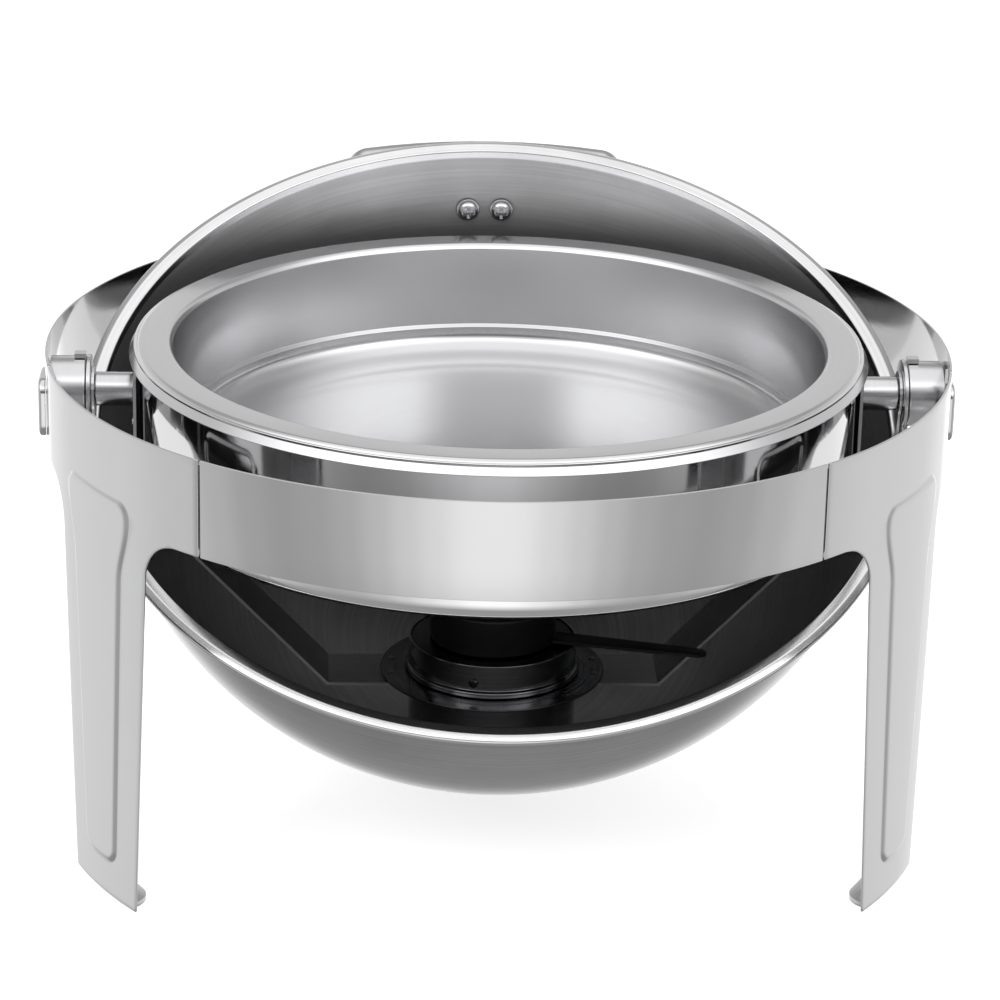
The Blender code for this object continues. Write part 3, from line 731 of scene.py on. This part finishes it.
    def cover(self, name: str, phi: float) -> None:
        """Cover plate over a pivot: nested rounded rectangles bent to the ring, its edge a quarter round."""
        low = self.bottom + 1.0 * MM
        high = 0.5 * (self.cover_top - low)
        soft = self.cover_edge
        turn = np.radians(np.linspace(0.0, 90.0, 7))
        inset = np.concatenate([[high, 0.5 * high, 1.2 * MM, 0.3 * MM, 0.0], soft * (1.0 - np.cos(turn)),
                                np.linspace(soft, high, 8)[1:]])
        lift = np.concatenate([[0.0, 0.0, 0.0, 0.0, 0.3 * MM], self.cover_thick - soft + soft * np.sin(turn),
                               np.full(7, self.cover_thick)])
        rings = rounded_rings(self.cover_half, high, self.cover_corner, inset)
        shape = pillow(rings, self.radius + self.gap + lift)
        middle = Matrix.Translation((0, 0, low + high)) @ Matrix.Rotation(phi, 4, "Z")
        finished(name + "_plate", shape.placed(middle), "frame", name,
                 POLISHED.material())

    def build(self) -> None:
        """Build the whole stand."""
        for index, word in enumerate(("front", "right", "left")):
            self.band(word + "_band", index * LEG_SPACING)
        for index, word in enumerate(("front_right", "back", "front_left")):
            middle = (0.5 + index) * LEG_SPACING
            self.leg("leg_" + word, middle)
            self.foot("foot_" + word, middle)
        self.cover("side_cover_right", QUARTER)
        self.cover("side_cover_left", -QUARTER)
        for number in range(1, 4):
            for letter in "ab":
                dress_node(f"splice_{number}{letter}", SATIN.material())


# ---- pivots
def axle_finish() -> bpy.types.Material:
    """Turned steel whose lines run round the roll axis."""
    return TURNED_STEEL.material(centre=PIVOT, turn=(0, QUARTER, 0))


@dataclass(frozen=True)
class Pivots:
    """Boss, disc and sleeve on the roll axis at each side, with the axle and stop pin."""

    boss_radius: float = 17.5 * MM
    boss: tuple[float, float] = (217.4 * MM, 236.2 * MM)
    disc: tuple[float, float] = (214.9 * MM, 217.1 * MM)
    sleeve: tuple[float, float] = (192.6 * MM, 212.9 * MM)
    sleeve_radius: float = 9.0 * MM
    bore: float = 5.3 * MM

    def build(self) -> None:
        """Build both sides."""
        boss = lathe(plug(self.boss_radius, *self.boss, 1.2 * MM, 0.5 * MM), 72)
        disc = flat_ring(self.bore, self.boss_radius + 0.6 * MM, self.disc, 0.2 * MM, 0.5 * MM)
        sleeve = flat_ring(self.bore, self.sleeve_radius, self.sleeve, 0.2 * MM, 0.8 * MM)
        for word, side in (("left", -1), ("right", 1)):
            place = lying_on_x(side)
            for name, node, shape in (("roll_boss_", "pivot_boss_", boss),
                                      ("roll_disc_", "pivot_disc_", lathe(disc, 64, loop=True)),
                                      ("sleeve_", "spacer_sleeve_", lathe(sleeve, 64, loop=True))):
                finished(name + word, shape.placed(place), "frame", node + word,
                         axle_finish())
            dress_node("pivot_axle_" + word, axle_finish())
            dress_node("stop_pin_" + word, SATIN.material())


# ---- pans
@dataclass(frozen=True)
class Pans:
    """Water pan fixed in the ring and food pan that lifts out."""

    water_radius: float = 189.5 * MM
    water_top: float = AXIS_Z + 28.4 * MM
    water_bottom: float = AXIS_Z - 56.0 * MM
    food_radius: float = 195.0 * MM
    food_top: float = AXIS_Z + 30.0 * MM
    food_floor: float = AXIS_Z - 33.0 * MM
    step_z: float = AXIS_Z - 17.0 * MM
    foot_radius: float = 165.0 * MM
    wall_radius: float = 171.5 * MM
    skirt: float = 7.2 * MM
    hem: float = 5.2 * MM
    corner_wide: float = 24.0 * MM
    corner_high: float = 13.0 * MM
    sheet: float = 1.2 * MM

    def water_profile(self) -> Array:
        """Section of the water pan: round bottom corner, straight wall and a small rolled-out lip."""
        r, low, top, sheet = self.water_radius, self.water_bottom, self.water_top, self.sheet
        lip = corners(r, top, (0.0, -2.4, 0.8), (2.9, -1.5, 0.6), (2.9, 0.0, 0.6))
        return fillet([(0.0, low, 0.0), (r, low, 10.0 * MM), *lip, (r - sheet, top, 1.6 * MM),
                       (r - sheet, low + sheet, 8.8 * MM), (0.0, low + sheet, 0.0)], count=8)

    def food_profile(self) -> Array:
        """Section of the food pan: floor, soft corner, stacking step, leaning wall, rim and sloping hem.

        The corner is part of an ellipse, (foot - wide (1 - sin a), floor + high (1 - cos a)), and it
        is drawn once inside the pan and once under it.
        """
        top, low, out, sheet = self.food_top, self.food_floor, self.food_radius, self.sheet
        foot, wall, step = self.foot_radius, self.wall_radius, self.step_z
        wide, high = self.corner_wide, self.corner_high
        inside = [(foot - wide * (1.0 - math.sin(a)), low + high * (1.0 - math.cos(a)), 0.0)
                  for a in np.radians(np.linspace(0.0, 86.0, 16))]
        under = [(r + sheet, z - sheet, 0.0) for r, z, _ in reversed(inside)]
        up = [*corners(foot, step, (0.2, -0.6, 0.8), (1.8, 1.0, 1.0)),
              *corners(wall, top, (0.0, -3.0, 2.0), (2.0, 0.0, 4.0)), (out - self.hem, top, 3.0 * MM)]
        back = [*corners(out, top - self.skirt, (0.0, 0.0, 0.5), (-1.2, 0.0, 0.5)),
                (out - self.hem - 0.6 * MM, top - sheet, 1.0 * MM), (wall + 3.4 * MM, top - sheet, 3.0 * MM),
                (wall + 1.3 * MM, top - 4.0 * MM, 1.5 * MM),
                *corners(foot, step, (3.0, 0.0, 0.8), (1.4, -1.4, 0.8))]
        return fillet([(0.0, low, 0.0), *inside, *up, *back, *under, (0.0, low - sheet, 0.0)], count=8)

    def build(self) -> None:
        """Build both pans."""
        water = lathe(self.water_profile(), 192)
        finished("water_bath", water, "frame", "water_pan", MIRROR_PAN.material())
        food = lathe(self.food_profile(), 192)
        finished("food_insert", food, "food_pan_body", "food_pan", SATIN_PAN.material())


# ---- burner
@dataclass(frozen=True)
class Burner:
    """Hanger arms, burner ring, fuel cup with its cover and can, and the damper with its handle."""

    strap_x: float = 192.3 * MM
    strap_top: float = AXIS_Z - 160.0 * MM
    rivet_y: float = 13.0 * MM
    arm_rivet_drop: float = 14.0 * MM
    ring_rivet_x: float = 55.0 * MM
    flange_radius: float = 61.0 * MM
    flange_thick: float = 1.2 * MM
    cup_radius: float = 45.5 * MM
    cup_wall: float = 1.2 * MM
    cup_top: float = AXIS_Z - 140.0 * MM
    cup_bottom: float = AXIS_Z - 193.0 * MM
    cover_hole: float = 30.0 * MM
    screw_phi: float = math.radians(-105.0)
    damper_radius: float = 34.0 * MM
    damper_hole: float = 12.0 * MM
    damper_high: float = 21.0 * MM
    damper_turn: float = math.radians(-15.5)
    damper_reach: float = 118.0 * MM
    gap: float = 0.3 * MM
    bead_z: float = strap_top + flange_thick + 2.0 * gap

    def rivet(self, name: str, node: str, place: Matrix, radius: float, high: float) -> None:
        """Domed head: height times (1 - (r / radius)^2) over a short straight edge."""
        r = np.linspace(0.0, radius, 9)
        dome = 0.25 * high + 0.75 * high * (1.0 - (r / radius) ** 2)
        profile = np.concatenate([np.stack([r, dome], -1), [(radius, 0.0), (0.0, 0.0)]])
        finished(name, lathe(profile, 28).placed(place), "frame", node,
                 TURNED_STEEL.material())

    def hanger(self) -> None:
        """Rivets, the burner ring and the finish of both arms."""
        for word, side in (("left", -1), ("right", 1)):
            dress_node("hanger_arm_" + word, STRAP.material())
            for label, y in (("front", -self.rivet_y), ("back", self.rivet_y)):
                end = f"{word}_{label}"
                spot = lying_on_x(side) @ Matrix.Translation((side * self.arm_rivet_drop, y,
                                                              self.strap_x + self.gap))
                self.rivet("arm_rivet_" + end, "hanger_rivet_" + end, spot, 2.4 * MM, 1.2 * MM)
                flat = Matrix.Translation((side * self.ring_rivet_x, 0.8 * y, self.bead_z))
                self.rivet("flange_rivet_" + end, "ring_rivet_" + end, flat, 1.7 * MM, 0.8 * MM)
        low = self.strap_top + self.gap
        profile = flat_ring(self.cup_radius + 0.6 * MM, self.flange_radius, (low, low + self.flange_thick),
                            0.4 * MM, 0.5 * MM)
        finished("burner_flange", lathe(profile, 96, loop=True), "frame", "burner_ring",
                 RING_STEEL.material())

    def cup(self) -> None:
        """Fuel cup hanging on its rolled bead, its cover ring, the can and the side screw."""
        outer, wall, top, low = self.cup_radius, self.cup_wall, self.cup_top, self.cup_bottom
        bead = corners(outer, self.bead_z, (0.0, 0.0, 0.3), (1.8, 0.0, 1.2), (1.8, 3.2, 1.6),
                       (0.0, 3.8, 0.8))
        profile = fillet([(0.0, low, 0.0), (outer, low, 4.0 * MM), *bead, (outer, top, 0.55 * MM),
                          (outer - wall, top, 0.55 * MM), (outer - wall, low + wall, 3.0 * MM),
                          (0.0, low + wall, 0.0)], count=7)
        finished("burner_cup", lathe(profile, 128), "cup_body", "fuel_cup",
                 HEATED.material())
        high = top - 0.8 * MM
        cover = flat_ring(self.cover_hole, outer - wall - self.gap, (high - wall, high), 0.4 * MM, 0.4 * MM)
        finished("cup_lid", lathe(cover, 96, loop=True), "cup_body", "cup_cover",
                 SMOKED.material())
        turn = Matrix.Rotation(self.screw_phi, 4, "Z")
        spot = turn @ Matrix.Translation((outer + self.gap, 0.0, top - 10.0 * MM))
        head = cross_head(radius=2.6 * MM, high=1.6 * MM, slot_half=0.35 * MM, slot_reach=1.9 * MM)
        place = spot @ Matrix.Rotation(QUARTER, 4, "Y")
        finished("cup_side_screw", head.placed(place), "cup_body", "cup_screw",
                 SMOKED.material())
        dress_node("fuel_can", TIN.material())

    def damper(self) -> None:
        """Black damper cap with a flame opening, and its long flat handle."""
        low = self.cup_top + 0.4 * MM
        high = low + self.damper_high
        outer, hole, sheet = self.damper_radius, self.damper_hole, 1.2 * MM
        profile = fillet([(outer - sheet, low, 0.4 * MM), (outer, low, 0.4 * MM), (outer, high, 1.8 * MM),
                          (hole, high, 0.5 * MM), (hole, high - sheet, 0.4 * MM),
                          (outer - sheet, high - sheet, 1.2 * MM)], closed=True, count=6)
        cap = lathe(profile, 128, loop=True)
        tip, root = 5.0 * MM, 7.0 * MM
        start = outer + 0.5 * MM
        end = arc((self.damper_reach - tip, 0.0), tip, -90, 90, 18)
        outline = np.concatenate([[(start, -root)], end, [(start, root)]])
        place = Matrix.Translation((0, 0, self.cup_top)) @ Matrix.Rotation(self.damper_turn, 4, "Z")
        handle = slab(outline, low=1.2 * MM, high=3.0 * MM, edge=0.4 * MM).placed(place)
        for name, shape, node in (("flame_cap", cap, "damper_cap"),
                                  ("flame_cap_handle", handle, "damper_handle")):
            finished(name, shape, "damper_body", node, BLACK.material())

    def build(self) -> None:
        """Build the burner."""
        self.hanger()
        self.cup()
        self.damper()


def cross_head(radius: float, high: float, slot_half: float, slot_reach: float) -> Shape:
    """Screw head with a cross recess, as a height over a polar grid.

    The dome is high times the square root of (1 - 0.9 (r / radius)^2); the recess takes away a
    depth that falls off smoothly outside two crossed bars.

    Args:
        radius: head radius.
        high: head height.
        slot_half: half width of a bar.
        slot_reach: half length of a bar.

    Returns:
        The closed head, standing on Z = 0.
    """
    r = np.linspace(0.0, radius, 30)[:, None]
    angle = (np.arange(96) * TAU / 96)[None, :]
    x, y = r * np.cos(angle), r * np.sin(angle)
    dome = high * np.sqrt(1.0 - 0.9 * (r / radius) ** 2) + 0.0 * angle
    across = np.minimum(np.abs(x), np.abs(y))
    bar = np.clip((slot_half - across) / (0.35 * slot_half) + 1.0, 0.0, 1.0)
    length = np.clip((slot_reach - r) / (0.3 * slot_reach), 0.0, 1.0)
    z = dome - 0.55 * high * bar * length
    skirt = np.stack([radius * np.cos(angle), radius * np.sin(angle), 0.0 * angle], -1)
    centre = np.zeros_like(skirt)
    points = np.concatenate([np.stack([x, y, z], -1), skirt, centre]).reshape(-1, 3)
    return Shape(points, grid_faces(32, 96, False, True))


# ---- lid
@dataclass(frozen=True)
class Lid:
    """Rolling dome with its lip, lugs and handle, built closed and then rolled open."""

    radius: float = 214.0 * MM
    sheet: float = 1.2 * MM
    rim: float = 22.7 * MM
    lip_radius: float = 221.5 * MM
    screw_tilt: float = math.radians(16.1)
    grip_tilt: float = math.radians(14.55)
    grip_radius: float = 247.0 * MM
    grip_depth: float = 11.0 * MM
    grip_half: float = 22.5 * MM
    grip_sweep: float = math.radians(19.3)
    grip_sheet: float = 2.0 * MM
    grip_corner: float = 13.0 * MM
    screw_x: float = 9.8 * MM
    post_radius: float = 6.0 * MM
    washer: float = 1.0 * MM
    washer_radius: float = 6.8 * MM
    gap: float = 0.3 * MM

    def opened(self) -> Matrix:
        """The move from the closed dome about its own centre to the open lid."""
        return Matrix.Translation(PIVOT) @ Matrix.Rotation(-LID_OPEN, 4, "X")

    def profile(self) -> Array:
        """Section of the dome: outer arc, rounded lip turned outwards, its hem, and the inner arc."""
        low = math.degrees(math.asin((self.rim + 1.3 * MM) / self.radius))
        rim, hem = self.rim, self.lip_radius - self.sheet
        crest = 0.5 * (self.radius + self.lip_radius)
        outside = arc((0.0, 0.0), self.radius, 90.0, low, 110)
        lip = fillet([(*outside[-1], 0.0), *corners(self.radius, rim, (0.8, -0.2, 0.8)),
                      *corners(crest, rim, (0.0, -0.9, 2.0)),
                      *corners(hem, rim, (0.0, 0.2, 1.0), (0.0, 1.9, 0.0)),
                      *corners(self.lip_radius, rim, (0.0, 1.9, 0.6), (0.0, -0.6, 1.8)),
                      *corners(crest, rim, (0.0, -2.1, 3.0)),
                      *corners(self.radius, rim, (-2.0, -1.6, 1.2), (-2.5, 2.6, 0.0))], count=7)
        inner = self.radius - self.sheet
        start = math.degrees(math.asin((rim + 4.6 * MM) / inner))
        inside = arc((0.0, 0.0), inner, start, 90.0, 110)
        return np.concatenate([outside[:-1], lip, inside])

    def shell(self) -> None:
        """The spun dome."""
        shape = lathe(self.profile(), 224).placed(self.opened())
        finish = DOME.material(centre=PIVOT, turn=(LID_OPEN, 0, 0))
        finished("dome", shape, "lid", "lid_shell", finish)

    def grip(self) -> None:
        """Pressed channel grip: nested rounded rectangles from the face, round the bend, down the
        wall and back up inside."""
        bend, sheet, half = 5.0 * MM, self.grip_sheet, self.grip_half
        turn = np.radians(np.linspace(0.0, 90.0, 9))
        long_half = self.grip_sweep * self.grip_radius
        thin = bend - sheet
        depth = self.grip_depth
        outer_inset = np.concatenate([np.linspace(half, bend, 9)[:-1], bend * (1.0 - np.sin(turn))])
        outer_drop = np.concatenate([np.zeros(8), bend * (1.0 - np.cos(turn))])
        under = np.array([(0.0, depth - 0.4 * MM), (0.3 * MM, depth), (sheet - 0.3 * MM, depth),
                          (sheet, depth - 0.4 * MM)])
        inner_inset = np.concatenate([sheet + thin * (1.0 - np.cos(turn)), np.linspace(bend, half, 9)[1:]])
        inner_drop = np.concatenate([bend - thin * np.sin(turn), np.full(8, sheet)])
        inset = np.concatenate([outer_inset, under[:, 0], inner_inset])
        drop = np.concatenate([outer_drop, under[:, 1], inner_drop])
        rings = rounded_rings(long_half, half, self.grip_corner, inset)
        shape = pillow(rings, self.grip_radius - drop)
        aim = self.opened() @ Matrix.Rotation(-self.grip_tilt, 4, "X")
        finish = SATIN.material(centre=PIVOT)
        finished("grip", shape.placed(aim), "lid", "handle_grip", finish)

    def fixings(self) -> None:
        """Two stand-offs, washers and cross-head screws through the dome."""
        tilt = Matrix.Rotation(-self.screw_tilt, 4, "X")
        aim = self.opened() @ tilt @ Matrix.Rotation(-QUARTER, 4, "Z")
        for word, side in (("left", -1), ("right", 1)):
            turn = math.asin(self.screw_x / self.radius)
            ray = aim @ Matrix.Rotation(side * turn, 4, "Z") @ Matrix.Rotation(QUARTER, 4, "Y")
            post = plug(self.post_radius, self.radius + self.gap,
                        self.grip_radius - self.grip_sheet - 0.6 * MM, 0.6 * MM, 0.6 * MM)
            face = self.radius - self.sheet - self.washer
            under = face - self.washer
            washer = plug(self.washer_radius, under, face, 0.4 * MM, 0.4 * MM)
            base = Matrix.Translation((0, 0, under - self.gap)) @ Matrix.Rotation(math.pi, 4, "X")
            head = cross_head(radius=5.7 * MM, high=4.2 * MM, slot_half=0.7 * MM, slot_reach=3.6 * MM)
            for name, shape, place in (("post", lathe(post, 48), ray), ("washer", lathe(washer, 48), ray),
                                       ("screw", head, ray @ base)):
                finished(f"grip_{name}_{word}", shape.placed(place), "lid", f"handle_{name}_{word}",
                         TURNED_STEEL.material())

    def build(self) -> None:
        """Build the lid."""
        self.shell()
        self.grip()
        self.fixings()
        for word in ("left", "right"):
            dress_node("lid_lug_" + word, SATIN.material())


# ---- studio
# Brightness of the walls by direction: 0 is behind the object, 1 is in front of it.
WALL_STOPS = [(0.0, 1.0), (0.022, 0.98), (0.05, 0.76), (0.146, 0.68), (0.33, 0.67), (0.552, 0.58),
              (0.655, 0.48), (0.727, 0.40), (0.80, 0.36), (0.86, 0.385), (0.905, 0.44), (0.941, 0.54),
              (0.967, 0.66), (0.985, 0.77), (1.0, 0.92)]
# Heights, as the sine of the angle over or under the horizon, between which one light fades into
# the next: wall to sky, low to high sky, the card's top, sky to overhead, and wall to under.
SKY_FADE = (0.02, 0.22)
HIGH_FADE = (0.34, 0.55)
CARD_FADE = (0.58, 0.72)
OVERHEAD_FADE = (0.72, 0.95)
UNDER_FADE = (0.40, 0.75)


@dataclass(frozen=True)
class Studio:
    """White table, soft surroundings with two darker sides, soft lights and the camera.

    Low, front and high are parts of the sky; azimuth, rise and roll turn the camera about its
    target; lengths are metres, and the lens is in millimetres.
    """

    floor_radius: float = 0.9
    swing: float = math.radians(3.0)
    table_glow: float = 0.62
    wall_light: float = 1.35
    low_light: float = 0.75
    low_front_loss: float = 0.30
    high_loss: float = 0.30
    high_front_gain: float = 1.75
    dark_card: float = 0.6
    overhead_light: float = 1.2
    under_light: float = 0.36
    azimuth: float = -0.04973
    rise: float = 0.35808
    roll: float = 0.02228
    distance: float = 2.0
    target: tuple[float, float, float] = (0.00234, 0.0, 0.17266)
    lens: float = 134.05

    def floor(self) -> None:
        """Round white table top."""
        high, low, far = -0.4 * MM, -4.0 * MM, self.floor_radius
        shape = lathe(np.array([(0.0, high), (far, high), (far, low), (0.0, low)]), 96)
        paint = FLOOR.material()
        shader = next(node for node in paint.node_tree.nodes if node.type == "BSDF_PRINCIPLED")
        shader.inputs["Emission Color"].default_value = (1.0, 1.0, 1.0, 1.0)
        shader.inputs["Emission Strength"].default_value = self.table_glow
        table = linked("table", shape, paint)
        table.visible_glossy = False

    def surroundings(self) -> None:
        """Soft studio light by direction: walls round the object, a sky that is brightest high in
        front and overhead, a dark card round the camera, and a dim floor."""
        world = bpy.data.worlds.new("studio")
        world.use_nodes = True
        bpy.context.scene.world = world
        shop = NodeShop(world.node_tree)
        way = shop.add("ShaderNodeTexCoord", {}, {}, "Generated")
        x, y, z = shop.parts(shop.placed(way, turn=(0, 0, self.swing)))
        level = (x * x + y * y + 0.0001) ** 0.5
        facing = (y / level) * -0.5 + 0.5
        wall = shop.add("ShaderNodeValToRGB", {"stops": WALL_STOPS}, {0: facing}) * self.wall_light
        high = z.between(*HIGH_FADE)
        gain = facing.between(0.25, 0.80) * (high * self.high_front_gain - self.low_front_loss)
        card = facing.between(0.90, 0.99) * (1.0 - z.between(*CARD_FADE))
        front = (gain + self.low_light - high * self.high_loss) * (1.0 - card * self.dark_card)
        upper = z.between(*SKY_FADE)
        over = z.between(*OVERHEAD_FADE)
        below = (0.0 - z).between(*UNDER_FADE)
        sky = front * (1.0 - over) + over * self.overhead_light
        ring = wall * (1.0 - below) + below * self.under_light
        light = ring * (1.0 - upper) + sky * upper
        back = shop.add("ShaderNodeBackground", {}, {"Color": light, "Strength": 1.0})
        shop.add("ShaderNodeOutputWorld", {}, {"Surface": back})

    def lamp(self, name: str, place: Vector, size: float, power: float) -> None:
        """Square soft light aimed at the middle of the object."""
        data = bpy.data.lights.new(name, "AREA")
        data.size, data.energy = size, power
        lamp = bpy.data.objects.new(name, data)
        lamp.visible_glossy = False
        aim = Vector(self.target) - place
        lamp.matrix_world = Matrix.Translation(place) @ aim.to_track_quat("-Z", "Y").to_matrix().to_4x4()
        bpy.context.scene.collection.objects.link(lamp)

    def camera(self) -> None:
        """Camera on its sphere round the target: behind it looks along the unit vector back."""
        flat = math.cos(self.rise)
        back = Vector((math.sin(self.azimuth) * flat, -math.cos(self.azimuth) * flat, math.sin(self.rise)))
        right = (-back).cross(Vector((0, 0, 1))).normalized()
        up = right.cross(-back)
        across = math.cos(self.roll) * right + math.sin(self.roll) * up
        upward = math.cos(self.roll) * up - math.sin(self.roll) * right
        place = Vector(self.target) + self.distance * back
        data = bpy.data.cameras.new("camera")
        data.lens, data.sensor_width = self.lens, 36.0
        camera = bpy.data.objects.new("camera", data)
        turn = Matrix((across, upward, back)).transposed().to_4x4()
        camera.matrix_world = Matrix.Translation(place) @ turn
        bpy.context.scene.collection.objects.link(camera)
        bpy.context.scene.camera = camera

    def build(self) -> None:
        """Set up the studio."""
        bpy.context.scene.view_settings.view_transform = "Standard"
        self.camera()
        self.floor()
        self.surroundings()
        self.lamp("overhead", Vector((0.1, -0.2, 1.6)), size=1.2, power=9.0)
        self.lamp("window", Vector((-1.2, -1.0, 1.2)), size=0.8, power=6.0)


def main() -> None:
    """Build the studio and every sub-assembly in order and report each."""
    logging.basicConfig(level=logging.INFO, format="%(name)s: %(message)s")
    for part in (Studio(), RingFrame(), Pivots(), Pans(), Burner(), Lid()):
        LOG.info("building %s", type(part).__name__)
        part.build()


if __name__ == "__main__":
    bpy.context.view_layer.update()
    main()
